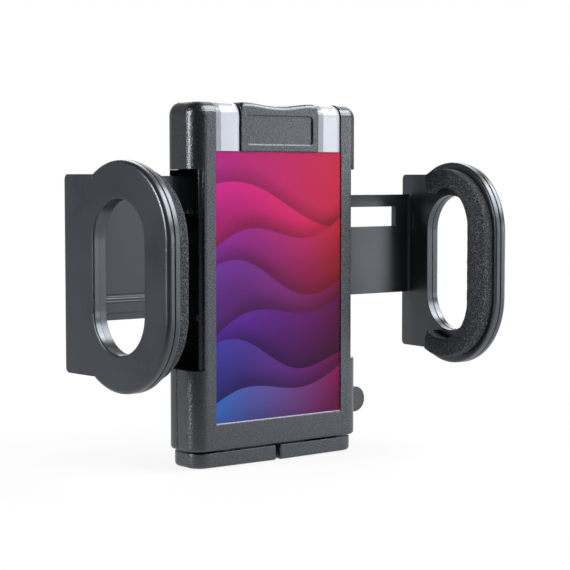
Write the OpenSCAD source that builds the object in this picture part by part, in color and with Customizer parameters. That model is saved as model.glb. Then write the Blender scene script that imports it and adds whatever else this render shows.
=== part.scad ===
// Car phone holder: a flat two-part body with a printed front panel, two opening arms that
// slide on racks round one pinion, a push button with a latch, two swivelling feet and a lock bar.
// X runs across the holder, Y from the front to the back, Z up. The feet stand on z = 0.

/* [Body] */
// Width of the body across its sides
body_w = 62.8; // [60.8:0.1:70]
// Depth of the body from its front face to its back
body_d = 16; // [15.8:0.1:18]
// Height of the body above its bottom edge
body_h = 102.4; // [98:0.1:110]
// Wall of the front shell
wall = 2; // [1.6:0.1:2.2]
// Wall of the back
rear_wall = 1.8; // [1.4:0.1:2]
// Radius of the upright front edges
front_corner_r = 4.6; // [3:0.1:5.5]
// Radius of the upright rear edges
rear_corner_r = 5; // [3:0.1:5.5]
// Radius round the top edge
top_edge_r = 4; // [2:0.1:4.4]
// Radius round the bottom edge
bottom_edge_r = 0.9; // [0.6:0.1:2.5]
// Depth of the front shell, from the front face to the seam
seam_y = 9; // [8.6:0.1:9.6]
// Width and depth of the groove along the seam
seam_gap = 0.35; // [0.1:0.05:0.6]

/* [Front panel and trims] */
// Width of the printed panel
panel_w = 47.3; // [40:0.1:52]
// Height of the printed panel
panel_h = 80; // [70:0.1:85]
// Thickness of the printed panel
panel_t = 0.8; // [0.5:0.1:1]
// How far the panel lies below the front face
panel_sink = 0.3; // [0.1:0.05:0.6]
// Height of the head above the panel, where the trims and the button are
head_h = 14.6; // [13.6:0.1:18]
// How far each silver trim's outer edge lies inside the panel's edge
trim_inset = 0.15; // [0:0.05:1]
// Thickness of each silver trim
trim_t = 0.8; // [0.5:0.1:1]
// How far the trim's side margins slope back
trim_slope = 0.45; // [0.2:0.05:0.6]
// Width of each sloping margin
trim_margin = 1.7; // [0.8:0.1:2.5]

/* [Button and latch] */
// Width of the release button
button_w = 29; // [26:0.1:29.2]
// Travel of the release button
button_travel = 2; // [1.9:0.05:2.1]
// Depth of the hollow in the button's top edge
button_dip = 1; // [0.4:0.1:1.4]
// Radius along the button's top edge
button_edge_r = 1.5; // [0.8:0.1:2]
// Depth of the finger rest in the button's face
rest_depth = 0.45; // [0.2:0.05:0.6]
// Height of the finger rest
rest_h = 8.6; // [7:0.1:9.4]
// Width of the rim beside and below the finger rest
rest_rim = 2; // [1.5:0.1:3]
// Thickness of the latch plate
latch_t = 1.2; // [1:0.1:1.3]
// Wire diameter of the springs
wire_d = 0.6; // [0.4:0.05:0.7]

/* [Arms] */
// Thickness of each arm plate
plate_t = 2; // [1.6:0.1:2]
// Sliding gap between the plates and what lies beside them
slide_gap = 0.3; // [0.2:0.05:0.4]
// Height of the pinion axis below the panel's top edge
gear_drop = 20.2; // [19:0.1:21]
// Height of the right plate above the pinion axis
right_plate_up = 7.1; // [6:0.1:8]
// Height of the right plate below the pinion axis
right_plate_down = 24.7; // [20:0.1:26]
// Height of the left plate above the pinion axis
left_plate_up = 13.1; // [11:0.1:13.2]
// Height of the left plate below the pinion axis
left_plate_down = 27.9; // [26:0.1:28.2]
// How far each plate reaches past the pinion axis when the arms are open
rack_lead = 2; // [1.8:0.1:3]
// Bare plate between the right arm's window and its jaw
window_margin = 6.1; // [6.1:0.1:10]
// Radius of the fillet between each plate and its jaw
web_r = 1.2; // [0.6:0.1:3]
// Gap between each jaw and the side of the body when the arms are shut
shut_gap = 3.3; // [2:0.05:5]

/* [Jaws] */
// Angle by which the jaws lean towards each other at the front
toe_in = 4.3; // [0:0.1:5]
// Thickness of the outer cover of each jaw
cover_t = 2.2; // [1.8:0.1:2.6]
// Thickness of the inner frame of each jaw
frame_t = 2.2; // [1.8:0.1:2.6]
// Height of the jaw's upright flange
flange_h = 55.9; // [52:0.1:58]
// Height of the jaw's centre below the pinion axis
jaw_drop = 14.4; // [13.5:0.1:15.5]
// Outer radius of the hoop's round ends
hoop_r = 21.9; // [20:0.1:24]
// Radius of the ends of the hole in the hoop
hole_r = 11.4; // [9:0.1:13]
// Length of the hoop's straight sides
hoop_straight = 19.8; // [10:0.1:24]
// Distance from the jaw's rear edge to the middle of the hoop
hoop_reach = 24.85; // [24:0.05:28]
// Distance from the jaw's rear edge to the back of the body
jaw_rear_inset = 2.3; // [1.5:0.05:2.8]
// Radius round the outer edge of the hoop
hoop_edge_r = 1.2; // [0.5:0.1:1.6]
// Radius round the edge of the hole
hole_edge_r = 0.5; // [0.2:0.1:1]
// Thickness of the foam pads
foam_t = 4.2; // [3:0.1:6]
// Rim left bare above and below the foam
foam_rim = 2; // [1:0.1:3]
// Rim left bare in front of the foam
foam_front_rim = 1.2; // [1:0.1:3]
// Rim left bare between the foam and the hole, above and below the hole
foam_hole_rim = 2.5; // [1:0.1:3]
// Rim left bare between the foam and the hole, in front of the hole
foam_side_rim = 1; // [0.6:0.1:3]
// Distance from the body's front face to the rear ends of the foam
foam_clear = 2.7; // [1:0.1:6]
// How far the slanted ends of the foam lean forward at the hole
foam_slant = 1.6; // [0:0.1:4]

/* [Pinion] */
// Module of the pinion and racks
gear_module = 0.5; // [0.45:0.01:0.55]
// Number of teeth of the pinion
gear_teeth = 10; // [10:2:10]
// Pressure angle of the teeth
pressure_angle = 30; // [28:1:30]
// Play between the teeth along the pitch line
backlash = 0.16; // [0.1:0.01:0.24]
// Diameter of the pinion's pin
pin_d = 2; // [1.6:0.1:2.2]
// Radial clearance of running fits
run_clear = 0.05; // [0.02:0.01:0.08]

/* [Feet and lock bar] */
// Thickness of the feet
foot_h = 4.5; // [3:0.1:5]
// Gap between the feet and the body
foot_gap = 0.6; // [0.5:0.1:2]
// Gap between the two feet
foot_split = 1.5; // [1.2:0.1:3]
// How far the feet lie inside the body's outline
foot_inset = 1; // [0.5:0.1:1.5]
// Radius round the lower edge of the feet
foot_edge_r = 1.1; // [0.6:0.1:1.8]
// Distance from the side of the body to each foot's pivot
pivot_inset = 9; // [8.8:0.1:10]
// Diameter of each foot's pivot stub
stub_d = 6.4; // [5:0.1:6.6]
// Diameter of the collar that holds the stub in the body
collar_d = 8.8; // [8:0.1:9]
// Height of the lock bar, which is also the diameter of its thumb tab
bar_h = 8; // [6:0.1:9]
// Thickness of the lock bar
bar_t = 2; // [1.5:0.1:2.4]
// How far the thumb tab stands out of the body's side
tab_out = 8; // [6:0.1:10]
// Travel of the lock bar
lock_travel = 3; // [2.5:0.1:3.4]
// Width of the lock bar's teeth
lock_tooth_w = 1.7; // [1.2:0.1:1.8]

/* [Rear mount and screws] */
// Distance across between the hook slots in the back
slot_pitch_x = 24; // [20:0.5:26]
// Distance up between the hook slots in the back
slot_pitch_z = 30; // [26:0.5:32]
// Width of each hook slot
hook_slot_w = 3; // [2.5:0.1:3.5]
// Length of each hook slot
hook_slot_l = 8; // [6:0.1:9]
// Shank diameter of the case screws
screw_d = 2.4; // [2:0.1:2.8]
// Head diameter of the case screws
screw_head_d = 4.6; // [4:0.1:5]
// Length of the case screws
screw_l = 9; // [7:0.1:9.5]

/* [Hidden] */

shell_grey = "#4a4d51";
jaw_grey = "#43464b";
plate_grey = "#4d5058";
foam_grey = "#35383b";
trim_silver = "#cdd1dc";
panel_magenta = "#a0307e";
steel = "#b8bbc0";
acetal_white = "#e6e4dc";

post_fn = 40;
hole_fn = 48;
face_gap = 0.1;
cut = 1;

// Body levels and walls
half_w = body_w / 2;
body_z0 = foot_h + foot_gap;
body_z1 = body_z0 + body_h;
panel_z1 = body_z1 - head_h;
panel_z0 = panel_z1 - panel_h;
panel_bed = panel_sink + panel_t;
inner_w = body_w - 2 * wall;
floor_z = body_z0 + wall;
roof_z = body_z1 - wall;
back_y = body_d - rear_wall;

// Plates, from the front one to the back one
right_plate_y = back_y - 4;
left_plate_y = right_plate_y - slide_gap - plate_t;
plates_front = left_plate_y - slide_gap;
plates_back = right_plate_y + plate_t + slide_gap;

// Pinion and racks
gear_z = panel_z1 - gear_drop;
pitch_r = gear_module * gear_teeth / 2;
pitch = PI * gear_module;
addendum = gear_module;
dedendum = 1.25 * gear_module;
window_half = pitch_r + dedendum + 0.075;
travel = inner_w / 2 - rack_lead - 0.4;
rack_l = travel + 1.5;
left_window_l = travel + pitch_r + addendum + 0.4;

// Jaws
jaw_t = cover_t + frame_t;
jaw_z = gear_z - jaw_drop;
jaw_x = half_w + shut_gap + travel + jaw_t * cos(toe_in);
jaw_rear_y = body_d - jaw_rear_inset;
parting = 0.35;
hole_step = 0.12;
function jaw_inner_x(y) = jaw_x - jaw_t * cos(toe_in) - (jaw_rear_y - y) * tan(toe_in);
hoop_front_y = jaw_rear_y - (hoop_reach + hoop_r) * cos(toe_in) + hoop_edge_r * sin(toe_in);

// The origin is under the middle of the whole holder, between the hoops and the back
front_y = -(body_d + hoop_front_y) / 2;

// Side openings for the arms
side_slot_z0 = jaw_z - flange_h / 2 - 1.3;
side_slot_z1 = jaw_z + flange_h / 2 + 1.5;
relief = 0.9;
lip_y = 1.55;
head_z = side_slot_z1 - face_gap;

// Guide ribs
rib_t = 1.5;
rib_x = half_w - wall - 5.6;
support_z = [jaw_z - 2.2, jaw_z + 5.8];

// Button
button_gap = 0.3;
button_z0 = panel_z1 + face_gap;
button_back = plates_front;
button_corner_r = 1.5;
button_flange = 1.2;
flange_drop = 2;
rest_corner_r = 1.2;
button_peak = button_w / 2 - button_corner_r;
top_wave = [for (i = [1 : 19]) let (x = -button_peak + i * button_peak / 10)
    [x, body_z1 - button_dip * (0.5 + 0.5 * cos(180 * x / button_peak))]];
latch_y = 4.2;
latch_w = 24;
latch_below = 4;
latch_above = 4.5;
latch_z0 = panel_z1 - latch_below;
latch_z1 = panel_z1 + latch_above;
stem_x = 4;
stem_w = 5;
neck_step = 0.2;
neck_w = 2;
neck_rise = 0.9;
stem_clear = 0.1;
tooth_clear = 0.2;
spring_x = 9;
spring_rise = 7.6;
spring_z = panel_z1 + spring_rise;
spring_r = 1.9;
spring_seat_y = latch_y;
spigot_l = 2.5;

// Pinion pin and its spring
pin_boss_r = pin_d / 2 + 1.2;
pinion_spring_r = 3;
pinion_spring_y = wall + 0.4;

// Feet
pivot_x = half_w - pivot_inset;
pivot_y = body_d / 2;
collar_gap = 0.2;
collar_h = 1.8;
collar_z = floor_z + collar_gap;
bar_z0 = collar_z + collar_h + 1.8;
bar_z = bar_z0 + bar_h / 2;
bar_y = pivot_y - bar_t / 2;
bar_rail_half = 12;
bar_rib_x = 10;
tooth_gap = 0.4;
notch_r = 1.6;

// Case screws. The upper two hold the tongue of the rear shell to the head.
upper_screw_gap = 1.3;
upper_screw_rise = 0.6;
lower_screw_drop = 0.425;
upper_screw_z = panel_z1 + upper_screw_rise;
boss_wall = 1.8;
screw_boss_r = screw_d / 2 + boss_wall;
upper_screw_x = button_w / 2 + button_flange + screw_boss_r + upper_screw_gap;
// The lower two stand a little below the middle between the lock bar's rail and the side openings
bar_rail_z1 = bar_z0 + bar_h + slide_gap + rib_t;
lower_screw_z = (bar_rail_z1 + side_slot_z0) / 2 - lower_screw_drop;
screw_spots = [
    [-upper_screw_x, upper_screw_z], [upper_screw_x, upper_screw_z],
    [-pivot_x, lower_screw_z], [pivot_x, lower_screw_z]
];
tongue_w = 52;
tongue_rim = 0.85;
tongue_z1 = upper_screw_z + screw_head_d / 2 + tongue_rim;
boss_drop = 2.2;
boss_split_y = back_y - boss_drop;
screw_head_h = 1.3;

// Puts what is modelled from the body's front face into the holder's frame
module in_place() {
    translate([0, front_y, 0]) children();
}

function arc(cx, cy, r, a0, a1, n) =
    [for (i = [0 : n]) [cx + r * cos(a0 + (a1 - a0) * i / n), cy + r * sin(a0 + (a1 - a0) * i / n)]];

// Upright post with a rounded top and bottom edge, for the corners of the housing
module corner_post(r, z0, z1, top_r, bottom_r) {
    translate([0, 0, z0])
        rotate_extrude($fn = post_fn)
            polygon(concat(
                [[0, 0]],
                arc(r - bottom_r, bottom_r, bottom_r, -90, 0, 4),
                arc(r - top_r, z1 - z0 - top_r, top_r, 0, 90, 7),
                [[0, z1 - z0]]
            ));
}

// The housing's outer form, drawn inwards by an inset all round
module body_form(inset = 0) {
    fr = front_corner_r - inset;
    rr = rear_corner_r - inset;
    tr = min(top_edge_r - inset, fr - 0.1, rr - 0.1);
    br = max(bottom_edge_r - inset, 0.6);
    hull() {
        for (side = [-1, 1]) {
            translate([side * (half_w - front_corner_r), front_corner_r, 0])
                corner_post(fr, body_z0 + inset, body_z1 - inset, tr, br);
            translate([side * (half_w - rear_corner_r), body_d - rear_corner_r, 0])
                corner_post(rr, body_z0 + inset, body_z1 - inset, tr, br);
        }
    }
}

// A block given by its lowest and highest corners
module block(low, high) {
    translate(low) cube([high[0] - low[0], high[1] - low[1], high[2] - low[2]]);
}

// A cylinder along Y
module y_rod(r, y0, y1, fn = hole_fn) {
    translate([0, y0, 0]) rotate([-90, 0, 0]) cylinder(r = r, h = y1 - y0, $fn = fn);
}

// Openings in both sides, through which the arms slide
module side_openings() {
    for (side = [0, 1]) mirror([side, 0, 0]) {
        block([half_w - front_corner_r, lip_y, side_slot_z0], [half_w + cut, back_y, side_slot_z1]);
        difference() {
            block([half_w - front_corner_r + 1, -cut, side_slot_z0], [half_w + cut, seam_y, side_slot_z1]);
            body_form(relief);
        }
    }
}

// Slot in the right side for the lock bar
module lock_bar_slot() {
    block([half_w - wall - cut, bar_y - slide_gap, bar_z0 - slide_gap],
          [half_w + cut, bar_y + bar_t + slide_gap, bar_z0 + bar_h + slide_gap]);
}

// Holes in the floor for the stubs of the feet
module stub_holes() {
    for (side = [-1, 1])
        translate([side * pivot_x, pivot_y, body_z0 - cut])
            cylinder(r = stub_d / 2 + run_clear, h = wall + 2 * cut, $fn = hole_fn);
}

// Strip over the top edge: the section runs up the front, round the edge and back along the top
module over_the_top(section, z0, y1) {
    y_max = y1 - top_edge_r;
    translate([0, 0, z0]) linear_extrude(body_z1 - top_edge_r - z0) polygon(section);
    translate([0, top_edge_r, body_z1 - top_edge_r])
        rotate([0, 90, 0]) rotate([0, 0, 180])
            rotate_extrude(angle = 90, $fn = 64)
                polygon([for (p = section) [top_edge_r - p[1], p[0]]]);
    translate([0, top_edge_r + y_max, body_z1])
        rotate([90, 0, 0]) linear_extrude(y_max)
            polygon([for (p = section) [p[0], -p[1]]]);
}

trim_x0 = button_w / 2 + button_gap + 0.1;
trim_w = panel_w / 2 - trim_inset - trim_x0;
trim_back_y = 7.2;

module trim_section_solid() {
    over_the_top([
        [trim_x0, trim_t], [trim_x0, trim_slope], [trim_x0 + trim_margin, 0],
        [trim_x0 + trim_w - trim_margin, 0], [trim_x0 + trim_w, trim_slope], [trim_x0 + trim_w, trim_t]
    ], panel_z1 + face_gap, trim_back_y);
}

module trim_bed() {
    e = 0.05;
    over_the_top([
        [trim_x0 - cut, trim_t], [trim_x0 - cut, -cut], [trim_x0 + trim_w + e, -cut],
        [trim_x0 + trim_w + e, trim_t]
    ], panel_z1, trim_back_y + e);
}

// Opening in the head for the release button
module button_opening() {
    x = button_w / 2 + button_gap;
    block([-x, -cut, panel_z1], [x, wall + 0.01, body_z1 + cut]);
    block([-x, -cut, roof_z - cut], [x, button_back + button_travel + 0.5, body_z1 + cut]);
    // The hollow in the button's top edge runs on through the head
    translate([0, body_d + cut, 0]) rotate([90, 0, 0]) linear_extrude(body_d + 2 * cut)
        polygon(concat([[-button_peak, body_z1 + cut]], top_wave, [[button_peak, body_z1 + cut]]));
}

module front_shell_skin() {
    difference() {
        intersection() {
            body_form();
            union() {
                block([-half_w, 0, 0], [half_w, seam_y, body_z1 + cut]);
                difference() {
                    block([-half_w, 0, head_z], [half_w, body_d, body_z1 + cut]);
                    block([-tongue_w / 2 - face_gap, back_y - face_gap, head_z - cut],
                          [tongue_w / 2 + face_gap, body_d + cut, tongue_z1 + face_gap]);
                }
            }
        }
        block([-inner_w / 2, wall, floor_z], [inner_w / 2, back_y, roof_z]);
    }
}

module front_ribs() {
    low_z = gear_z - left_plate_down - slide_gap - rib_t;
    high_z = gear_z + left_plate_up + slide_gap;
    // Rails under and over the left plate, the upper one cut for the latch stem
    block([-rib_x, wall - 0.1, low_z], [rib_x, left_plate_y + plate_t, low_z + rib_t]);
    difference() {
        block([-rib_x, wall - 0.1, high_z], [rib_x, left_plate_y + plate_t, high_z + rib_t]);
        block([stem_x - slide_gap, latch_y - slide_gap, high_z - cut],
              [stem_x + stem_w + slide_gap, plates_front + cut, high_z + rib_t + cut]);
    }
    // Ribs that carry the plates from the front
    for (z = support_z) block([-rib_x, wall - 0.1, z], [rib_x, plates_front, z + rib_t]);
    // Guides beside the button
    for (side = [0, 1]) mirror([side, 0, 0])
        block([button_w / 2 + button_gap, wall - 0.1, latch_z0 + 0.5],
              [button_w / 2 + button_gap + rib_t, button_back - button_flange - slide_gap, roof_z + 0.1]);
    // Rails for the lock bar
    block([-bar_rail_half, wall - 0.1, bar_z0 - slide_gap - rib_t],
          [bar_rail_half, bar_y + bar_t, bar_z0 - slide_gap]);
    block([-rib_x, wall - 0.1, bar_z0 + bar_h + slide_gap],
          [rib_x, bar_y + bar_t, bar_rail_z1]);
    for (x = [-bar_rib_x, bar_rib_x])
        block([x - rib_t / 2, wall - 0.1, bar_z0 - slide_gap - 0.1],
              [x + rib_t / 2, bar_y - slide_gap, bar_z0 + bar_h + slide_gap + 0.1]);
    // Spigots in the head for the button springs
    for (side = [-1, 1])
        translate([side * spring_x, 0, spring_z])
            y_rod(spring_r - wire_d - 0.2, back_y - spigot_l, back_y + 0.1);
}

module front_shell() color(shell_grey) in_place() {
    difference() {
        union() {
            front_shell_skin();
            front_ribs();
            for (s = screw_spots) translate([s[0], 0, s[1]])
                y_rod(screw_boss_r, wall - 0.1, boss_split_y);
            translate([0, 0, gear_z]) y_rod(pin_boss_r, wall - 0.1, plates_front);
        }
        side_openings();
        block([-panel_w / 2 - 0.05, -cut, panel_z0 - 0.05], [panel_w / 2 + 0.05, panel_bed, panel_z1 + 0.01]);
        trim_bed();
        mirror([1, 0, 0]) trim_bed();
        button_opening();
        lock_bar_slot();
        stub_holes();
        for (s = screw_spots) translate([s[0], 0, s[1]])
            y_rod(screw_d / 2 + 0.02, body_d - rear_wall + 0.3 - screw_l, body_d);
        translate([0, 0, gear_z]) y_rod(pin_d / 2 + 0.02, wall + 1, body_d);
    }
}

// Back of the housing, with a shallow groove along the seam
module rear_shell_skin() {
    difference() {
        intersection() {
            body_form();
            union() {
                block([-half_w, seam_y, 0], [half_w, body_d, head_z - face_gap]);
                block([-tongue_w / 2, back_y, head_z - cut], [tongue_w / 2, body_d, tongue_z1]);
            }
        }
        block([-inner_w / 2, seam_y - cut, floor_z], [inner_w / 2, back_y, roof_z]);
        difference() {
            block([-half_w - cut, seam_y - cut, 0], [half_w + cut, seam_y + seam_gap, head_z]);
            body_form(seam_gap + 0.25);
        }
    }
}

module rear_ribs() {
    low_z = gear_z - right_plate_down - slide_gap - rib_t;
    high_z = gear_z + right_plate_up + slide_gap;
    // Rails under and over the right plate, which also back the left one
    for (z = [low_z, high_z])
        block([-rib_x, right_plate_y + 0.1, z], [rib_x, back_y + 0.1, z + rib_t]);
    for (z = support_z) block([-rib_x, plates_back, z], [rib_x, back_y + 0.1, z + rib_t]);
    // Ribs behind the lock bar
    for (x = [-bar_rib_x, bar_rib_x])
        block([x - rib_t / 2, max(bar_y + bar_t + slide_gap, seam_y), floor_z - 0.1],
              [x + rib_t / 2, back_y + 0.1, bar_z0 + bar_h + slide_gap]);
    translate([0, 0, gear_z]) y_rod(pin_boss_r, plates_back, back_y + 0.1);
}

module rear_shell() color(shell_grey) in_place() {
    difference() {
        union() {
            rear_shell_skin();
            rear_ribs();
            for (s = screw_spots) translate([s[0], 0, s[1]])
                y_rod(screw_boss_r, boss_split_y + face_gap, back_y + 0.1);
        }
        side_openings();
        lock_bar_slot();
        stub_holes();
        translate([0, 0, gear_z]) y_rod(pin_d / 2 + 0.02, 0, back_y - 0.2);
        for (s = screw_spots) translate([s[0], 0, s[1]]) {
            y_rod(screw_d / 2 + 0.1, 0, body_d + cut);
            y_rod(screw_head_d / 2 + 0.2, body_d - screw_head_h - 0.2, body_d + cut);
        }
        // Four slots for the hooks of a mount
        for (x = [-1, 1], z = [-1, 1])
            translate([x * slot_pitch_x / 2, 0, jaw_z + z * slot_pitch_z / 2]) {
                for (e = [-1, 1])
                    translate([e * (hook_slot_l - hook_slot_w) / 2, 0, 0])
                        y_rod(hook_slot_w / 2, back_y - cut, body_d + cut);
                block([-(hook_slot_l - hook_slot_w) / 2, back_y - cut, -hook_slot_w / 2],
                      [(hook_slot_l - hook_slot_w) / 2, body_d + cut, hook_slot_w / 2]);
            }
    }
}

module front_panel() color(panel_magenta) in_place() {
    block([-panel_w / 2, panel_sink, panel_z0], [panel_w / 2, panel_bed, panel_z1]);
}

module left_trim() color(trim_silver) in_place() {
    mirror([1, 0, 0]) trim_section_solid();
}

module right_trim() color(trim_silver) in_place() {
    trim_section_solid();
}

// Outline of the button's top edge, from left to right: round corners and a hollow between them
button_top = concat(
    arc(-button_peak, body_z1 - button_corner_r, button_corner_r, 180, 90, 5), top_wave,
    arc(button_peak, body_z1 - button_corner_r, button_corner_r, 90, 0, 5)
);

// Button block with its top edge rounded along the front, made of rings from front to back
module button_block() {
    steps = 6;
    m = len(button_top) + 2;
    ring_y = concat([for (k = [0 : steps]) button_edge_r * (1 - cos(90 * k / steps))], [button_back]);
    ring_drop = concat([for (k = [0 : steps]) button_edge_r * (1 - sin(90 * k / steps))], [0]);
    n = len(ring_y);
    points = [for (k = [0 : n - 1], i = [0 : m - 1])
        i == 0 ? [-button_w / 2, ring_y[k], button_z0] :
        i == m - 1 ? [button_w / 2, ring_y[k], button_z0] :
        [button_top[i - 1][0], ring_y[k], button_top[i - 1][1] - ring_drop[k]]];
    sides = [for (k = [0 : n - 2], i = [0 : m - 1])
        [k * m + i, (k + 1) * m + i, (k + 1) * m + (i + 1) % m, k * m + (i + 1) % m]];
    front = [for (i = [0 : m - 1]) i];
    back = [for (i = [m - 1 : -1 : 0]) (n - 1) * m + i];
    polyhedron(points, concat([front], [back], sides), convexity = 4);
}

module release_button() color(shell_grey) in_place() {
    rest_w = button_w - 2 * rest_rim;
    rest_z0 = button_z0 + rest_rim;
    rest_z1 = rest_z0 + rest_h;
    difference() {
        union() {
            button_block();
            // Flange that keeps the button from falling out at the front
            block([-button_w / 2 - button_flange, button_back - button_flange, button_z0],
                  [button_w / 2 + button_flange, button_back, roof_z - flange_drop]);
        }
        // Finger rest with rounded corners
        block([-rest_w / 2 + rest_corner_r, -cut, rest_z0],
              [rest_w / 2 - rest_corner_r, rest_depth, rest_z1]);
        block([-rest_w / 2, -cut, rest_z0 + rest_corner_r],
              [rest_w / 2, rest_depth, rest_z1 - rest_corner_r]);
        for (x = [-1, 1], z = [rest_z0 + rest_corner_r, rest_z1 - rest_corner_r])
            translate([x * (rest_w / 2 - rest_corner_r), 0, z]) y_rod(rest_corner_r, -cut, rest_depth, 24);
        // Slot for the latch plate and pockets for the springs
        block([-latch_w / 2, latch_y, button_z0 - cut], [latch_w / 2, latch_y + latch_t, latch_z1]);
        for (side = [-1, 1])
            translate([side * spring_x, 0, spring_z]) y_rod(spring_r + 0.25, spring_seat_y, button_back + cut);
    }
}

// Latch plate with a stem and a tooth that stands just under the left rack's teeth
module latch_slider() color(steel) in_place() {
    neck_x = stem_x + neck_step;
    neck_y1 = left_plate_y + plate_t - tooth_clear;
    neck_z1 = gear_z + neck_rise;
    tooth_z0 = gear_z + stem_clear;
    tooth_z1 = gear_z + pitch_r - addendum - tooth_clear;
    block([-latch_w / 2, latch_y, latch_z0], [latch_w / 2, latch_y + latch_t, latch_z1]);
    block([stem_x, latch_y, tooth_z0], [stem_x + stem_w, latch_y + latch_t, latch_z0 + 0.1]);
    block([neck_x, latch_y + latch_t - 0.1, tooth_z0],
          [neck_x + neck_w, neck_y1, neck_z1]);
    translate([0, neck_y1, 0]) rotate([90, 0, 0])
        linear_extrude(plate_t - 2 * tooth_clear)
            polygon([[neck_x, tooth_z0], [neck_x + neck_w, tooth_z0], [neck_x + neck_w, neck_z1],
                     [neck_x + 0.7 * neck_w, tooth_z1], [neck_x + 0.4 * neck_w, tooth_z1]]);
}

// Wire wound into a coil along Z
module coil(mean_r, length, turns, steps_per_turn = 16, sides = 6) {
    wire_r = wire_d / 2;
    n = turns * steps_per_turn;
    points = [for (i = [0 : n], s = [0 : sides - 1])
        let (a = 360 * i / steps_per_turn, b = 360 * s / sides, r = mean_r + wire_r * cos(b))
        [r * cos(a), r * sin(a), wire_r + (length - wire_d) * i / n + wire_r * sin(b)]];
    tube = [for (i = [0 : n - 1], s = [0 : sides - 1])
        [i * sides + s, i * sides + (s + 1) % sides, (i + 1) * sides + (s + 1) % sides, (i + 1) * sides + s]];
    first = [for (s = [sides - 1 : -1 : 0]) s];
    last = [for (s = [0 : sides - 1]) n * sides + s];
    polyhedron(points, concat(tube, [first], [last]), convexity = 8);
}

module button_spring(side) color(steel) in_place() {
    translate([side * spring_x, spring_seat_y + 0.05, spring_z]) rotate([-90, 0, 0])
        coil(spring_r - wire_d / 2, back_y - spring_seat_y - 0.1, 6, 14);
}

module left_button_spring() button_spring(-1);

module right_button_spring() button_spring(1);

// Rack teeth that point up from the root line, with a gap between teeth at x = 0
module rack_teeth(y0) {
    half_t = pitch / 4 - backlash / 4;
    slope = tan(pressure_angle);
    count = floor(rack_l / pitch);
    translate([0, y0 + plate_t, 0]) rotate([90, 0, 0]) linear_extrude(plate_t)
        for (k = [-1 : count]) let (x = (k + 0.5) * pitch)
            polygon([
                [x - half_t - dedendum * slope, -pitch_r - dedendum - 0.2],
                [x - half_t - dedendum * slope, -pitch_r - dedendum],
                [x - half_t + addendum * slope, -pitch_r + addendum],
                [x + half_t - addendum * slope, -pitch_r + addendum],
                [x + half_t + dedendum * slope, -pitch_r - dedendum],
                [x + half_t + dedendum * slope, -pitch_r - dedendum - 0.2]
            ]);
}

// Arm plate with its window cut and the rack's teeth along the window's lower edge
module racked_plate(y0, up, down, x1, window_x1) {
    difference() {
        block([-rack_lead, y0, -down], [x1, y0 + plate_t, up]);
        block([-rack_lead - cut, y0 - cut, -pitch_r - dedendum], [window_x1, y0 + plate_t + cut, window_half]);
    }
    intersection() {
        rack_teeth(y0);
        block([-rack_lead, y0, -down], [x1, y0 + plate_t, up]);
    }
}

// Web with a concave front that joins an arm plate to its jaw
module jaw_web(y0, z0, z1) {
    x1 = jaw_inner_x(y0);
    difference() {
        block([x1 - web_r, y0 - web_r, z0], [x1 + 0.6, y0 + 0.1, z1]);
        translate([x1 - web_r, y0 - web_r, z0 - cut]) cylinder(r = web_r, h = z1 - z0 + 2 * cut, $fn = 96);
        block([x1 - web_r - cut, y0 - web_r - cut, z0 - cut], [x1 - web_r + 0.001, y0 - 0.001, z1 + cut]);
    }
}

// Frame of the right jaw: x into the jaw from its outer face, y forward from its rear edge
module in_jaw() {
    translate([jaw_x, jaw_rear_y, 0]) rotate([0, 0, 180 - toe_in]) children();
}

// Ring swept round the hoop from a list of points [radius, depth from the outer face]
module hoop_sweep(section) {
    half = hoop_straight / 2;
    for (end = [-1, 1])
        translate([0, hoop_reach, jaw_z + end * half]) rotate([0, 90, 0]) rotate([0, 0, end * 90])
            rotate_extrude(angle = 180, $fn = 96) polygon(section);
    for (side = [-1, 1])
        translate([0, hoop_reach, jaw_z - half])
            linear_extrude(hoop_straight) polygon([for (p = section) [p[1], side * p[0]]]);
}

// Flange of the jaw between two depths, with rounded rear corners
module flange(t0, t1, rear, corner_r) {
    y1 = hoop_reach - hole_r - hole_edge_r - 0.1;
    h = flange_h / 2;
    translate([t0, 0, 0]) rotate([90, 0, 90]) linear_extrude(t1 - t0)
        polygon(concat(
            [[y1, jaw_z - h]], [[y1, jaw_z + h]],
            arc(rear + corner_r, jaw_z + h - corner_r, corner_r, 90, 180, 6),
            arc(rear + corner_r, jaw_z - h + corner_r, corner_r, 180, 270, 6)
        ));
}

module jaw_cover() {
    in_jaw() {
        hoop_sweep(concat(
            arc(hoop_r - hoop_edge_r, hoop_edge_r, hoop_edge_r, -90, 0, 6),
            [[hoop_r, cover_t]], [[hole_r, cover_t]],
            arc(hole_r + hole_edge_r, hole_edge_r, hole_edge_r, 180, 270, 4)
        ));
        flange(0, cover_t, 0, 1.5);
    }
}

// Inner frame of the jaw, with a parting line beside the cover and a rounded inner edge
module jaw_frame() {
    r = 0.6;
    in_jaw() {
        hoop_sweep(concat(
            [[hoop_r - parting, cover_t]], [[hoop_r - parting, cover_t + parting]],
            [[hoop_r, cover_t + parting]],
            arc(hoop_r - r, jaw_t - r, r, 0, 90, 4),
            [[hole_r + hole_step, jaw_t]], [[hole_r + hole_step, cover_t]]
        ));
        flange(cover_t, jaw_t, 0.2, 1.5);
    }
}

module right_arm_solid() {
    translate([0, 0, gear_z]) racked_plate(
        right_plate_y, right_plate_up, right_plate_down,
        jaw_inner_x(right_plate_y) + 0.6, jaw_inner_x(right_plate_y) - window_margin);
    jaw_web(right_plate_y, gear_z - right_plate_down, gear_z + right_plate_up);
    jaw_frame();
}

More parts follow.
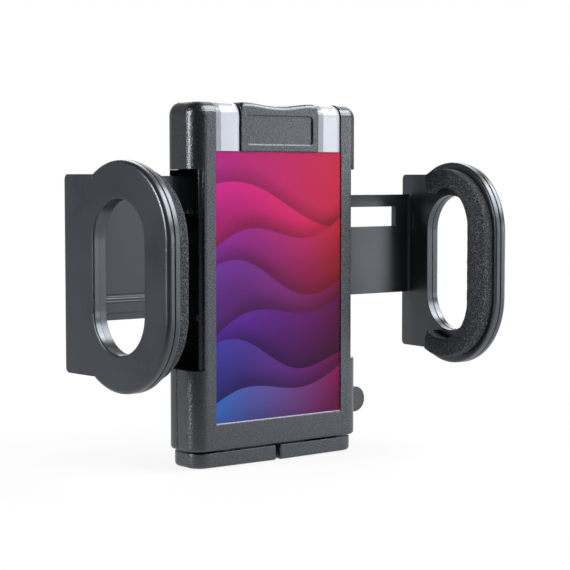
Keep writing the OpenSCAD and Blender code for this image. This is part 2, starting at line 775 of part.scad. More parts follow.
// The left plate lies in front of the right one and hangs its rack from the window's upper edge
module left_arm_solid() {
    ridge_z = [4.95, 5.75];
    translate([0, 0, gear_z]) difference() {
        mirror([0, 0, 1]) racked_plate(
            left_plate_y, left_plate_down, left_plate_up,
            jaw_inner_x(left_plate_y) + 0.6, left_window_l);
        // Moulded groove and thin lower border of the plate
        block([half_w / 2, left_plate_y - cut, -left_plate_down + 6.8],
              [jaw_inner_x(left_plate_y) - web_r - 0.4, left_plate_y + 0.4, -left_plate_down + 7.4]);
        block([-half_w, left_plate_y - cut, -left_plate_down - cut],
              [jaw_inner_x(left_plate_y) - web_r - 0.4, left_plate_y + 0.5, -left_plate_down + 2.1]);
    }
    for (z = ridge_z)
        block([half_w / 2, left_plate_y - slide_gap + 0.1, gear_z - left_plate_down + z],
              [jaw_inner_x(left_plate_y) - web_r - 0.4, left_plate_y + 0.1, gear_z - left_plate_down + z + 0.5]);
    jaw_web(left_plate_y, gear_z - left_plate_down, gear_z + left_plate_up);
    jaw_frame();
}

module left_arm() color(plate_grey) in_place() {
    mirror([1, 0, 0]) left_arm_solid();
}

module right_arm() color(plate_grey) in_place() {
    right_arm_solid();
}

module left_jaw_cover() color(jaw_grey) in_place() {
    mirror([1, 0, 0]) jaw_cover();
}

module right_jaw_cover() color(jaw_grey) in_place() {
    jaw_cover();
}

// Slot-shaped outline with round ends, along Z in the jaw's own plane
module long_hole(r, half_h) {
    hull() for (side = [-1, 1]) translate([hoop_reach, jaw_z + side * (half_h - r)]) circle(r, $fn = 96);
}

// Foam pad in the shape of a C, open towards the arm
module foam_pad() {
    rear_cut = jaw_rear_y + foam_clear;
    half_h = hoop_straight / 2;
    outer_half = half_h + hoop_r - foam_rim;
    inner_half = half_h + hole_r + foam_hole_rim;
    lean = foam_slant / (outer_half - inner_half);
    in_jaw() translate([jaw_t + 0.05, 0, 0]) rotate([90, 0, 90]) linear_extrude(foam_t - 0.05)
        intersection() {
            difference() {
                long_hole(hoop_r - foam_front_rim, outer_half);
                long_hole(hole_r + foam_side_rim, inner_half);
            }
            for (side = [-1, 1])
                polygon([[rear_cut, jaw_z + side * outer_half], [rear_cut + lean * outer_half, jaw_z],
                         [hoop_reach + hoop_r, jaw_z], [hoop_reach + hoop_r, jaw_z + side * outer_half]]);
        }
}

module left_foam_pad() color(foam_grey) in_place() {
    mirror([1, 0, 0]) foam_pad();
}

module right_foam_pad() color(foam_grey) in_place() {
    foam_pad();
}

// Involute tooth flanks: half the tooth's angle at a radius, by the usual involute function
base_r = pitch_r * cos(pressure_angle);
function inv_deg(a) = tan(a) * 180 / PI - a;
function half_angle(r) =
    (pitch / 2 - backlash / 2) / 2 / pitch_r * 180 / PI + inv_deg(pressure_angle)
    - inv_deg(acos(min(1, base_r / r)));

module pinion_gear() color(acetal_white) in_place() {
    root_r = pitch_r - dedendum;
    tip_r = pitch_r + addendum;
    radii = concat([root_r], [for (i = [0 : 4]) base_r + (tip_r - base_r) * i / 4]);
    outline = [for (k = [0 : gear_teeth - 1]) let (c = 90 + 360 * k / gear_teeth)
        each concat(
            [for (r = radii) [r * cos(c - half_angle(max(r, base_r))), r * sin(c - half_angle(max(r, base_r)))]],
            [for (i = [len(radii) - 1 : -1 : 0]) let (r = radii[i], h = half_angle(max(r, base_r)))
                [r * cos(c + h), r * sin(c + h)]]
        )];
    translate([0, right_plate_y + plate_t, gear_z]) rotate([90, 0, 0]) difference() {
        linear_extrude(right_plate_y + plate_t - left_plate_y) polygon(outline);
        translate([0, 0, -cut]) cylinder(r = pin_d / 2 + run_clear, h = body_d, $fn = hole_fn);
    }
}

module pinion_pin() color(steel) in_place() {
    translate([0, 0, gear_z]) y_rod(pin_d / 2, wall + 1, back_y - 0.2);
}

module pinion_spring() color(steel) in_place() {
    translate([0, pinion_spring_y, gear_z]) rotate([-90, 0, 0])
        coil(pinion_spring_r, plates_front - pinion_spring_y - 1.6, 5);
}

// Swivelling foot with a rounded outline, a stub and a notched collar
module foot() {
    x0 = foot_split / 2;
    x1 = half_w - foot_inset;
    y0 = foot_inset;
    y1 = body_d - foot_inset;
    // The rear inner corner is rounder, so that the feet clear each other as they swing
    corners = [
        [x0, y0, 0.5, 1, 1], [x0, y1, 2, 1, -1],
        [x1, y0, front_corner_r, -1, 1], [x1, y1, front_corner_r, -1, -1]
    ];
    difference() {
        union() {
            hull() for (c = corners)
                translate([c[0] + c[3] * c[2], c[1] + c[4] * c[2], 0])
                    corner_post(c[2], 0, foot_h, 0.2, min(foot_edge_r, c[2] - 0.05));
            translate([pivot_x, pivot_y, foot_h - 0.1])
                cylinder(r = stub_d / 2, h = collar_z - foot_h + 0.2, $fn = hole_fn);
            translate([pivot_x, pivot_y, collar_z]) cylinder(r = collar_d / 2, h = collar_h, $fn = hole_fn);
        }
        children();
    }
}

// Notch in a foot's collar, cut outwards from the pivot at an angle
module collar_notch(angle) {
    w = bar_t + 0.8;
    translate([pivot_x, pivot_y, 0]) rotate([0, 0, angle])
        block([notch_r, -w / 2, collar_z - 0.05], [collar_d, w / 2, collar_z + collar_h + cut]);
}

module left_foot() color(shell_grey) in_place() {
    mirror([1, 0, 0]) foot() {
        collar_notch(180);
        collar_notch(-90 + 180);
    }
}

module right_foot() color(shell_grey) in_place() {
    foot() {
        collar_notch(0);
        collar_notch(-90);
    }
}

module foot_washer(side) color(plate_grey) in_place() {
    translate([side * pivot_x, pivot_y, foot_h + face_gap]) difference() {
        cylinder(r = stub_d / 2 + 2, h = foot_gap - 2 * face_gap, $fn = hole_fn);
        translate([0, 0, -cut]) cylinder(r = stub_d / 2 + 0.15, h = foot_gap + 2 * cut, $fn = hole_fn);
    }
}

module left_foot_washer() foot_washer(-1);

module right_foot_washer() foot_washer(1);

// Bar across both feet, with two teeth below and a round thumb tab out of the right side
module foot_lock_bar() color(shell_grey) in_place() {
    tab_x = half_w + tab_out - bar_h / 2;
    tooth_x = collar_d / 2 + tooth_gap;
    block([-pivot_x + tooth_x - 2, bar_y, bar_z0], [tab_x, bar_y + bar_t, bar_z0 + bar_h]);
    translate([tab_x, 0, bar_z]) y_rod(bar_h / 2, bar_y, bar_y + bar_t, 64);
    for (side = [-1, 1])
        block([side * pivot_x + tooth_x, bar_y, collar_z + 0.3],
              [side * pivot_x + tooth_x + lock_tooth_w, bar_y + bar_t, bar_z0 + 0.1]);
}

// Four case screws with a cross recess in each head
module case_screws() color(steel) in_place() {
    for (s = screw_spots) translate([s[0], 0, s[1]]) difference() {
        union() {
            y_rod(screw_d / 2, body_d - rear_wall + 0.4 - screw_l, body_d - 0.5);
            y_rod(screw_head_d / 2, body_d - screw_head_h - 0.1, body_d - 0.1);
        }
        for (a = [0, 90]) rotate([0, a, 0])
            block([-1.4, body_d - 0.8, -0.3], [1.4, body_d + cut, 0.3]);
    }
}

front_shell();
rear_shell();
front_panel();
left_trim();
right_trim();
release_button();
latch_slider();
left_button_spring();
right_button_spring();
left_arm();
right_arm();
left_jaw_cover();
right_jaw_cover();
left_foam_pad();
right_foam_pad();
pinion_gear();
pinion_pin();
pinion_spring();
left_foot();
right_foot();
left_foot_washer();
right_foot_washer();
foot_lock_bar();
case_screws();
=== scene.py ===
"""Car phone holder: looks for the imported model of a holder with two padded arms, a printed
front panel, a push button and swivelling feet. Run as a script, it dresses the frame's
nodes, puts soft foam in place of the plain pads, and adds floor, lamps and camera."""

import math

import bmesh
import bpy
from bpy.props import FloatProperty, FloatVectorProperty, PointerProperty, StringProperty
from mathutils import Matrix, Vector, noise


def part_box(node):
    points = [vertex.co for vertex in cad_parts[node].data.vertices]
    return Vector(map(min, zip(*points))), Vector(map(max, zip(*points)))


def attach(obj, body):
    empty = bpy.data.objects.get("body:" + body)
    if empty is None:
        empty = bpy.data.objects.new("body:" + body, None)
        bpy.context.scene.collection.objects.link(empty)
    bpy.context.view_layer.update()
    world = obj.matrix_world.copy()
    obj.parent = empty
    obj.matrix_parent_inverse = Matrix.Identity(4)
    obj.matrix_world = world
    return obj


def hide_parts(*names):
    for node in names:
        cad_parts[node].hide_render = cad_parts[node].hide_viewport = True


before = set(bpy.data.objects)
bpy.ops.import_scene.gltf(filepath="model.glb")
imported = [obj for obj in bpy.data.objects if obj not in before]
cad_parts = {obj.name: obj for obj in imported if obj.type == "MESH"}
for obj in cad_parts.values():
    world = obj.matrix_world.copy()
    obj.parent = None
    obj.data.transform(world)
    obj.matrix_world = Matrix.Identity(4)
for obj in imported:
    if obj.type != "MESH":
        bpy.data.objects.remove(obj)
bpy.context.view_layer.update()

bl_info = {
    "name": "Car Phone Holder",
    "version": (1, 0, 0),
    "blender": (4, 5, 0),
    "location": "View3D > Sidebar > Phone Holder",
    "description": "Dresses a car phone holder with plastic, foam, silver trim and a printed panel",
    "category": "Object",
}

MM = 0.001
SIDE_NAMES = {-1: "left", 1: "right"}

# Carbon-black ABS shines slightly blue
SHINY_ABS = {"IOR": 1.53, "Specular IOR Level": 1.0, "Specular Tint": (0.84, 0.92, 1.0, 1.0)}
EDGE_SAMPLES = 6
# Roughness of the arms and of the jaw covers, and spacing of the drag in their sheen
ARM_ROUGHNESS, ARM_FLOW_MM = 0.34, 9.0
JAW_ROUGHNESS, JAW_FLOW_MM = 0.28, 12.0

# Values between which nearly all of a noise texture lies
NOISE_SPAN = (0.3, 0.7)
# Spacings of the patterns in millimetres. The real satin grain and flake are finer, and are
# drawn as coarse as they need to show.
PATCH_MM = 14.0
SATIN_GRAIN_MM = 0.3
SPECK_MM = 3.2
FLAKE_MM = 0.25
ZINC_MM = 0.8
CLOUD_MM = 2.5
# A speck's rim and a foam cell's wall, as shares of their spacing
SPECK_EDGE = (0.02, 0.05)
CELL_WALL = (0.02, 0.3)
# Foam: how often its walls break up within a cell, and how deep its cells look
FOAM_BREAKS = 2.2
FOAM_DEPTH_MM = 0.3
# Foam colour as shares of its plain colour: painted shade in the cells' depths, and painted glints
# on the cell walls
FOAM_PAINTED_SHADE, FOAM_PAINTED_GLINT = 0.35, 4.5

# Colours behind the waves of the print, at the panel's left and right side
BACKDROP_COLOURS = ("#9e1e72", "#b01c36")
# Waves of the print from the back one to the front one: left and right colour, then height,
# rise, swell and number of waves, the heights as shares of the panel's height
WAVES = (
    ("#a81a72", "#b01a2e", 0.86, -0.10, 0.050, 0.75),
    ("#6a1e7a", "#981824", 0.62, 0.16, 0.060, 0.85),
    ("#58267c", "#681232", 0.56, -0.06, 0.055, 0.95),
    ("#462080", "#500a36", 0.30, 0.20, 0.060, 0.80),
    ("#323082", "#5a053e", 0.28, -0.08, 0.045, 1.05),
    ("#285298", "#6a0640", 0.06, 0.13, 0.040, 0.90),
)
# Phase of every wave at the panel's left side, in radians
WAVE_PHASE = 0.5
# Reach of a wave's shadow on what lies behind it, of its own shading and of its soft edge
WAVE_SHADOW, WAVE_DEPTH, WAVE_EDGE = 0.075, 0.16, 0.004
# The print turns pale along its bottom edge, and fades between these shares of the height
PALE_BOTTOM_COLOUR = "#d9cfe0"
PALE_BOTTOM_SPAN = (0.0022, 0.0042)

# Foam pad, in millimetres: rounding of its face, rise of the face's middle, set-back and
# height of its glued foot, rounding of its cut ends
PAD_SOFT, PAD_CROWN = 0.9, 0.25
PAD_TUCK, PAD_FOOT = 0.15, 0.3
PAD_CUT = 0.3
# The knife leaves the foam uneven: depth of its waves, mean cut, and waves to a millimetre
KNIFE_DEPTH, KNIFE_MEAN, KNIFE_WAVES = 0.09, 0.06, 0.8
# Glued back of the foam that the knife doesn't reach
PAD_GLUED = 0.4
# Steps of the foam's section, and of its route round the hoop's ends and along its front
WALL_STEPS, CORNER_STEPS, FACE_STEPS = 4, 4, 10
ROUND_STEPS, STRAIGHT_STEPS = 46, 22

# Directions: away from the camera and a little down, to the front right, to the rear right
AWAY_AND_DOWN = (0.616, 0.788, -0.35)
FRONT_RIGHT = (0.616, -0.788, 0)
REAR_RIGHT = (0.788, 0.616, 0)
WHITE = (1, 1, 1, 1)
# Floor, in metres: half its side, its gap below the feet, and the distances between which it
# fades to plain white
FLOOR_HALF, FLOOR_GAP = 3.0, 0.0002
SHADOW_REACH = (0.03, 0.16)
# Camera: sensor width in millimetres, and the nearest thing it shows in metres
SENSOR_MM, CLIP_START = 36, 0.01
# Soft boxes with their place, and width and height, in metres. StageSettings has their power.
LAMPS = {
    "front_box": ((0.90, -0.83, 1.16), (1.3, 1.1)),
    "front_card": ((1.16, -1.05, 0.19), (0.75, 0.32)),
    "left_box": ((-1.30, 0.30, 0.38), (0.24, 0.6)),
    "top_box": ((0.95, -0.25, 1.0), (0.4, 0.4)),
    "back_box": ((1.0, 1.05, 0.85), (1.1, 1.0)),
}
LAMP_TARGET = (0, 0, 0.055)

front_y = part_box("front_shell")[0][1]
panel_low, panel_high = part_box("front_panel")
pad_low, pad_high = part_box("right_foam_pad")


def linear(hex_colour):
    """sRGB hex such as #4a4d51, as linear red, green, blue and alpha."""
    channels = [int(hex_colour[i:i + 2], 16) / 255 for i in (1, 3, 5)]
    red, green, blue = (c / 12.92 if c <= 0.04045 else ((c + 0.055) / 1.055) ** 2.4
                        for c in channels)
    return (red, green, blue, 1.0)


class HolderColours(bpy.types.PropertyGroup):
    """Colours of the holder's plastics, foam and metal, as sRGB hex."""
    shell: StringProperty(name="Housing", default="#1a1b1f",
                          description="Textured ABS of the housing, button and feet")
    jaw: StringProperty(name="Jaws", default="#20232a",
                        description="Satin ABS of the jaw covers")
    arm: StringProperty(name="Arms", default="#1b1d21",
                        description="Satin ABS of the sliding arms")
    foam: StringProperty(name="Foam", default="#393b40",
                         description="Open-cell foam of the pads")
    trim: StringProperty(name="Trims", default="#b6bac4",
                         description="Silver lacquer of the trims")
    steel: StringProperty(name="Steel", default="#b9bcc0",
                          description="Zinc-plated steel of screws and springs")
    acetal: StringProperty(name="Acetal", default="#e4e2da",
                           description="White acetal of the pinion")


class HolderSizes(bpy.types.PropertyGroup):
    """Sizes that the looks are worked out from. Lengths are in millimetres."""
    edge: FloatProperty(name="Edge radius", default=0.28, min=0.05, max=0.4,
                        description="Rounding of moulded edges")
    button_edge: FloatProperty(name="Button edge", default=0.5, min=0.05, max=0.8,
                               description="Rounding of the button and its finger rest")
    grain: FloatProperty(name="Moulded grain", default=0.45, min=0.2, max=1.0,
                         description="Spacing of the spark-eroded grain")
    foam_cell: FloatProperty(name="Foam cell", default=0.8, min=0.3, max=1.5,
                             description="Spacing of the foam's open cells")
    pad_outer: FloatProperty(name="Pad outer radius", default=20.7, min=15, max=24,
                             description="Radius of the foam's outer round ends")
    pad_outer_half: FloatProperty(name="Pad half height", default=29.8, min=20, max=36,
                                  description="Half the height of the foam")
    pad_inner: FloatProperty(name="Pad inner radius", default=12.4, min=8, max=18,
                             description="Radius of the ends of the foam's opening")
    pad_inner_half: FloatProperty(name="Pad opening half height", default=23.8, min=12, max=30,
                                  description="Half the height of the foam's opening")
    pad_reach: FloatProperty(name="Pad reach", default=24.85, min=20, max=32,
                             description="From the jaw's rear edge to the middle of the hoop")
    pad_base: FloatProperty(name="Pad base", default=4.45, min=3, max=6,
                            description="Depth of the foam's back below the jaw's outer face")
    pad_face: FloatProperty(name="Pad face", default=8.6, min=5, max=12,
                            description="Depth of the foam's face below the jaw's outer face")
    pad_end: FloatProperty(name="Pad end", default=8.45, min=2, max=14,
                           description="How far the foam reaches behind the middle of the hoop")
    pad_slant: FloatProperty(name="Pad slant", default=1.6, min=0, max=4,
                             description="How far the foam's ends lean forward at the hole")
    toe_in: FloatProperty(name="Toe-in", default=math.radians(4.3), min=0, max=math.radians(6),
                          subtype="ANGLE", description="Lean of the jaws towards each other")


class StageSettings(bpy.types.PropertyGroup):
    """Camera, lamps and backdrop. The lamps' power is in watts."""
    lens: FloatProperty(name="Lens", default=102.59, min=20, max=300, unit="CAMERA",
                        description="Focal length on a 36 mm frame")
    camera_at: FloatVectorProperty(name="Camera", description="Camera position",
                                   default=(-0.29856, front_y - 0.38446, panel_high[2] - 0.00747),
                                   subtype="XYZ", unit="LENGTH")
    camera_yaw: FloatProperty(name="Yaw", default=math.radians(37.996), subtype="ANGLE",
                              description="Turn of the camera to the right of the Y axis")
    camera_pitch: FloatProperty(name="Pitch", default=math.radians(-3.801), subtype="ANGLE",
                                description="Tilt of the camera above the horizon")
    paper: StringProperty(name="Floor", default="#e4e4e4",
                          description="Colour of the floor as sRGB hex")
    fill: FloatProperty(name="Fill", default=0.22, min=0, max=1,
                        description="Strength of the plain light from all round")
    front_box: FloatProperty(name="Front box", default=34.0, min=0, unit="POWER",
                             description="Power of the front soft box")
    front_card: FloatProperty(name="Front card", default=3.2, min=0, unit="POWER",
                              description="Power of the white card under the front box")
    left_box: FloatProperty(name="Left box", default=14.0, min=0, unit="POWER",
                            description="Power of the left soft box")
    top_box: FloatProperty(name="Top box", default=3.2, min=0, unit="POWER",
                           description="Power of the top soft box")
    back_box: FloatProperty(name="Back box", default=10.0, min=0, unit="POWER",
                            description="Power of the back soft box")


def feed(tree, node, inputs):
    """Gives a node's inputs their values or links. A node stands for its first output."""
    for key, value in inputs.items():
        if isinstance(value, bpy.types.Node):
            value = value.outputs[0]
        if isinstance(value, bpy.types.NodeSocket):
            tree.links.new(value, node.inputs[key])
        else:
            node.inputs[key].default_value = value


def add_node(tree, kind, inputs=None, **settings):
    """Adds a node with its settings, input values and links."""
    node = tree.nodes.new(kind)
    for key, value in settings.items():
        setattr(node, key, value)
    feed(tree, node, inputs or {})
    return node


def new_material(name, inputs):
    """A material with one Principled shader, whose constant values are set on its own sockets."""
    material = bpy.data.materials.new(name)
    material.use_nodes = True
    tree = material.node_tree
    shader = tree.nodes["Principled BSDF"]
    feed(tree, shader, inputs)
    return material, tree, shader


def object_space(tree):
    """Object coordinates in millimetres, so pattern scales are one over a real size."""
    coords = add_node(tree, "ShaderNodeTexCoord")
    return add_node(tree, "ShaderNodeVectorMath", {0: coords.outputs["Object"], 1: (1 / MM,) * 3},
                    operation="MULTIPLY")


def remap(value, to, span=NOISE_SPAN):
    """Inputs that make a value's span into another one."""
    return {"Value": value, "From Min": span[0], "From Max": span[1],
            "To Min": to[0], "To Max": to[1]}


def varied(tree, colour, pattern, to, span=NOISE_SPAN, **settings):
    """A colour made lighter or darker as a pattern goes through its span."""
    factor = add_node(tree, "ShaderNodeMapRange", remap(pattern, to, span), **settings)
    return add_node(tree, "ShaderNodeVectorMath", {0: colour, "Scale": factor}, operation="SCALE")


def moulded_relief(tree, edge_mm, height, depth_mm, strength):
    """Normal of a moulded surface: edges rounded as the mould leaves them, and a fine relief."""
    edges = add_node(tree, "ShaderNodeBevel", {"Radius": edge_mm * MM}, samples=EDGE_SAMPLES)
    return add_node(tree, "ShaderNodeBump", {"Height": height, "Normal": edges,
                                             "Strength": strength, "Distance": depth_mm * MM})


def spark_eroded_abs(name, edge_mm):
    """ABS moulded in a spark-eroded tool: an even grain that sparkles along highlights. It is
    drawn a little coarser than the real one, so that it shows."""
    scene = bpy.context.scene
    material, tree, shader = new_material(name, SHINY_ABS)
    at = object_space(tree)
    grain = add_node(tree, "ShaderNodeTexNoise",
                     {"Vector": at, "Scale": 1 / scene.holder_sizes.grain, "Detail": 3.0,
                      "Roughness": 0.6})
    patches = add_node(tree, "ShaderNodeTexNoise",
                       {"Vector": at, "Scale": 1 / PATCH_MM, "Detail": 2.0})
    patchy = varied(tree, linear(scene.holder_colours.shell)[:3], patches, to=(0.95, 1.05))
    feed(tree, shader, {
        "Base Color": varied(tree, patchy, grain, to=(0.86, 1.16)),
        "Roughness": add_node(tree, "ShaderNodeMapRange", remap(grain, to=(0.24, 0.34))),
        "Normal": moulded_relief(tree, edge_mm, grain, depth_mm=0.08, strength=1.0)})
    return material


def satin_abs(name, hex_colour, roughness, flow_mm):
    """ABS moulded in a stoned tool: satin, with a faint drag in the sheen and rare specks."""
    edge_mm = bpy.context.scene.holder_sizes.edge
    material, tree, shader = new_material(name, SHINY_ABS)
    at = object_space(tree)
    drag = add_node(tree, "ShaderNodeTexNoise",
                    {"Vector": at, "Scale": 1 / flow_mm, "Detail": 3.0})
    fine = add_node(tree, "ShaderNodeTexNoise",
                    {"Vector": at, "Scale": 1 / SATIN_GRAIN_MM, "Detail": 2.0})
    specks = add_node(tree, "ShaderNodeTexVoronoi", {"Vector": at, "Scale": 1 / SPECK_MM})
    specked = varied(tree, linear(hex_colour)[:3], specks, to=(1.7, 1.0), span=SPECK_EDGE)
    sheen = remap(drag, to=(roughness - 0.03, roughness + 0.05))
    feed(tree, shader, {
        "Base Color": varied(tree, specked, drag, to=(0.95, 1.06)),
        "Roughness": add_node(tree, "ShaderNodeMapRange", sheen),
        "Normal": moulded_relief(tree, edge_mm, fine, depth_mm=0.03, strength=0.12)})
    return material


def open_cell_foam():
    """Open-cell rubber foam: matte and nearly black, with painted shade in the cells' depths and
    painted glints as pale specks on the cell walls.
    """
    scene = bpy.context.scene
    cell = scene.holder_sizes.foam_cell
    base = Vector(linear(scene.holder_colours.foam)[:3])
    material, tree, shader = new_material(
        "open_cell_foam", {"Roughness": 0.8, "IOR": 1.5, "Specular IOR Level": 0.3})
    at = object_space(tree)
    cells = add_node(tree, "ShaderNodeTexVoronoi", {"Vector": at, "Scale": 1 / cell},
                     feature="DISTANCE_TO_EDGE")
    fine = add_node(tree, "ShaderNodeTexNoise",
                    {"Vector": at, "Scale": FOAM_BREAKS / cell, "Detail": 3.0, "Roughness": 0.65})
    wall = add_node(tree, "ShaderNodeMapRange", remap(cells, to=(1.0, 0.35), span=CELL_WALL))
    height = add_node(tree, "ShaderNodeMath", {0: wall, 1: fine}, operation="MULTIPLY")
    ramp = add_node(tree, "ShaderNodeValToRGB", {"Fac": height})
    deep, cut = ramp.color_ramp.elements
    # Ramp stops: painted shade in the cells' depths, painted glints on the cell walls, and the
    # plain colour between
    deep.position, deep.color = 0.2, (*(base * FOAM_PAINTED_SHADE), 1.0)
    cut.position, cut.color = 0.66, (*(base * FOAM_PAINTED_GLINT), 1.0)
    ramp.color_ramp.elements.new(0.46).color = (*base, 1.0)
    relief = {"Height": height, "Strength": 0.9, "Distance": FOAM_DEPTH_MM * MM}
    feed(tree, shader, {"Base Color": ramp, "Normal": add_node(tree, "ShaderNodeBump", relief)})
    return material


def silver_lacquer():
    """Silver lacquer on moulded ABS: a pale metallic sheen with a very fine flake."""
    scene = bpy.context.scene
    material, tree, shader = new_material("silver_lacquer", {"Metallic": 0.18, "Roughness": 0.3})
    flake = add_node(tree, "ShaderNodeTexNoise",
                     {"Vector": object_space(tree), "Scale": 1 / FLAKE_MM, "Detail": 2.0})
    edges = {"Radius": scene.holder_sizes.edge * MM}
    feed(tree, shader, {
        "Base Color": varied(tree, linear(scene.holder_colours.trim)[:3], flake, to=(0.95, 1.03)),
        "Normal": add_node(tree, "ShaderNodeBevel", edges, samples=EDGE_SAMPLES)})
    return material


def printed_panel():
    """Paper print under clear film: overlapping waves, each with a soft shadow on the next."""
    material, tree, shader = new_material(
        "printed_panel", {"Roughness": 0.3, "IOR": 1.5, "Specular IOR Level": 0.1})
    split = add_node(tree, "ShaderNodeSeparateXYZ", {0: object_space(tree)})
    across, up = (
        add_node(tree, "ShaderNodeMapRange",
                 remap(split.outputs[i], (0, 1), (panel_low[i] / MM, panel_high[i] / MM)))
        for i in (0, 2))

    # A colour mix takes its two colours at inputs 6 and 7, and gives its result at output 2
    def side_to_side(left, right):
        colours = {"Factor": across, 6: linear(left), 7: linear(right)}
        return add_node(tree, "ShaderNodeMix", colours, data_type="RGBA").outputs[2]

    def laid_over(colour, sheet, value, span, to=(0.0, 1.0)):
        share = add_node(tree, "ShaderNodeMapRange", remap(value, to, span),
                         interpolation_type="SMOOTHSTEP")
        return add_node(tree, "ShaderNodeMix", {"Factor": share, 6: colour, 7: sheet},
                        data_type="RGBA").outputs[2]

    colour = side_to_side(*BACKDROP_COLOURS)
    for left, right, height, rise, swell, turns in WAVES:
        angle = add_node(tree, "ShaderNodeMath", {0: across, 1: turns * math.tau, 2: WAVE_PHASE},
                         operation="MULTIPLY_ADD")
        swing = add_node(tree, "ShaderNodeMath", {0: angle}, operation="SINE")
        slope = add_node(tree, "ShaderNodeMath", {0: across, 1: rise, 2: height},
                         operation="MULTIPLY_ADD")
        crest = add_node(tree, "ShaderNodeMath", {0: swing, 1: swell, 2: slope},
                         operation="MULTIPLY_ADD")
        inside = add_node(tree, "ShaderNodeMath", {0: crest, 1: up}, operation="SUBTRACT")
        # Shadow on what lies behind, then the wave itself, lit along its crest and deeper below
        colour = varied(tree, colour, inside, to=(1.0, 0.62), span=(-WAVE_SHADOW, 0.0),
                        interpolation_type="SMOOTHSTEP")
        sheet = varied(tree, side_to_side(left, right), inside, to=(1.2, 0.72),
                       span=(0.0, WAVE_DEPTH), interpolation_type="SMOOTHSTEP")
        colour = laid_over(colour, sheet, inside, (0.0, WAVE_EDGE))
    colour = laid_over(colour, linear(PALE_BOTTOM_COLOUR), up, PALE_BOTTOM_SPAN, to=(1.0, 0.0))
    feed(tree, shader, {"Base Color": colour})
    return material


def plated_steel():
    """Zinc-plated steel: bright and slightly mottled."""
    base = linear(bpy.context.scene.holder_colours.steel)[:3]
    material, tree, shader = new_material("plated_steel", {"Metallic": 1.0})
    mottle = add_node(tree, "ShaderNodeTexNoise",
                      {"Vector": object_space(tree), "Scale": 1 / ZINC_MM, "Detail": 3.0})
    feed(tree, shader, {
        "Base Color": varied(tree, base, mottle, to=(0.85, 1.0)),
        "Roughness": add_node(tree, "ShaderNodeMapRange", remap(mottle, to=(0.24, 0.42)))})
    return material


def white_acetal():
    """Moulded white acetal: waxy, with a little light passing under the surface."""
    base = linear(bpy.context.scene.holder_colours.acetal)[:3]
    material, tree, shader = new_material(
        "white_acetal", {"Roughness": 0.36, "IOR": 1.48, "Subsurface Weight": 0.15})
    cloud = add_node(tree, "ShaderNodeTexNoise",
                     {"Vector": object_space(tree), "Scale": 1 / CLOUD_MM, "Detail": 2.0})
    feed(tree, shader, {"Base Color": varied(tree, base, cloud, to=(0.94, 1.0))})
    return material


def dress(material, *nodes):
    """Gives CAD nodes a material in all their slots."""
    for name in nodes:
        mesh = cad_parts[name].data
        if not mesh.materials:
            mesh.materials.append(material)
        for i in range(len(mesh.materials)):
            mesh.materials[i] = material


class HOLDER_OT_housing(bpy.types.Operator):
    """Dresses the housing, button, feet and lock bar in textured ABS"""
    bl_idname = "holder.housing"
    bl_label = "Housing"

    def execute(self, context):
        sizes = context.scene.holder_sizes
        dress(spark_eroded_abs("spark_eroded_abs_shell", sizes.edge),
              "front_shell", "rear_shell", "left_foot", "right_foot", "foot_lock_bar")
        dress(spark_eroded_abs("spark_eroded_abs_button", sizes.button_edge), "release_button")
        return {"FINISHED"}


class HOLDER_OT_arms(bpy.types.Operator):
    """Dresses the sliding arms and the foot washers in satin ABS"""
    bl_idname = "holder.arms"
    bl_label = "Arms"

    def execute(self, context):
        colours = context.scene.holder_colours
        dress(satin_abs("satin_abs_arm", colours.arm, ARM_ROUGHNESS, ARM_FLOW_MM),
              "left_arm", "right_arm", "left_foot_washer", "right_foot_washer")
        return {"FINISHED"}


class HOLDER_OT_jaws(bpy.types.Operator):
    """Dresses the jaw covers in satin ABS"""
    bl_idname = "holder.jaws"
    bl_label = "Jaw covers"

    def execute(self, context):
        colours = context.scene.holder_colours
        dress(satin_abs("satin_abs_jaw", colours.jaw, JAW_ROUGHNESS, JAW_FLOW_MM),
              "left_jaw_cover", "right_jaw_cover")
        return {"FINISHED"}


class HOLDER_OT_trims(bpy.types.Operator):
    """Dresses the two trims in silver lacquer"""
    bl_idname = "holder.trims"
    bl_label = "Trims"

    def execute(self, context):
        dress(silver_lacquer(), "left_trim", "right_trim")
        return {"FINISHED"}


class HOLDER_OT_panel(bpy.types.Operator):
    """Dresses the front panel with its print"""
    bl_idname = "holder.panel"
    bl_label = "Printed panel"

    def execute(self, context):
        dress(printed_panel(), "front_panel")
        return {"FINISHED"}


class HOLDER_OT_mechanism(bpy.types.Operator):
    """Dresses the springs, pin, latch and screws in steel, and the pinion in acetal"""
    bl_idname = "holder.mechanism"
    bl_label = "Mechanism"

    def execute(self, context):
        dress(plated_steel(), "latch_slider", "left_button_spring", "right_button_spring",
              "pinion_pin", "pinion_spring", "case_screws")
        dress(white_acetal(), "pinion_gear")
        return {"FINISHED"}


def pad_section(width, height):
    """Section of the foam as (across, up): square below, with soft corners and a crowned face."""
    top = height - PAD_CROWN
    wall = top - PAD_SOFT - PAD_FOOT
    face = width - 2 * PAD_SOFT
    left = [(PAD_TUCK, 0.0), (0.0, PAD_FOOT)]
    left += [(0.0, PAD_FOOT + wall * i / WALL_STEPS) for i in range(1, WALL_STEPS)]
    left += [(PAD_SOFT - PAD_SOFT * math.cos(a), top - PAD_SOFT + PAD_SOFT * math.sin(a))
             for a in (math.pi / 2 * i / CORNER_STEPS for i in range(CORNER_STEPS + 1))]
    crown = [(PAD_SOFT + face * i / FACE_STEPS,
              top + PAD_CROWN * math.sin(math.pi * i / FACE_STEPS))
             for i in range(1, FACE_STEPS)]
    return left + crown + [(width - x, z) for x, z in reversed(left)]


